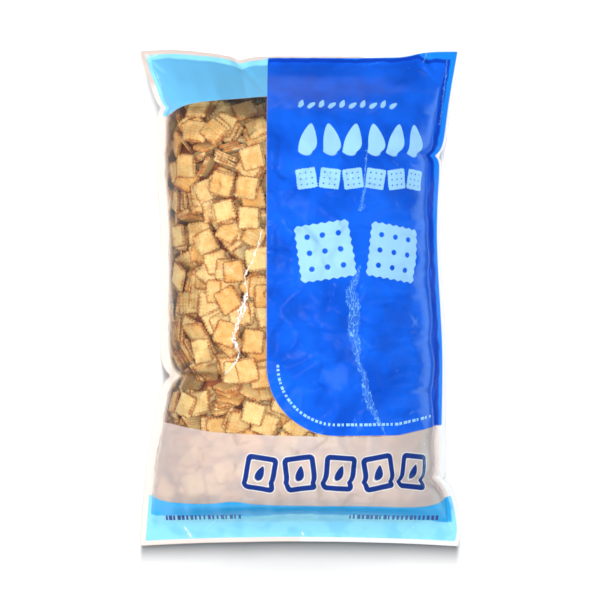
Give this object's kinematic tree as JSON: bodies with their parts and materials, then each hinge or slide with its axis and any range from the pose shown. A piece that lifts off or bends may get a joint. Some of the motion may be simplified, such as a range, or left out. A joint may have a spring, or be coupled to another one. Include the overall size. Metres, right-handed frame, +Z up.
{
  "type": "bag of sesame crackers",
  "caption": "Filled, sealed clear film pouch of square sesame crackers, with blue print fields, lying flat on its back.",
  "frame": {"origin": "on the floor under the middle of the pouch", "axes": "+Y along the pouch towards its top end, +Z up out of the shown front film, +X to the right seen from the front"},
  "size_m": [0.311, 0.48, 0.1066],
  "materials": {
    "film": "glossy printed film",
    "cracker": null
  },
  "bodies": {
    "root": {"cracker_pouch": "film"}
  },
  "joints": []
}
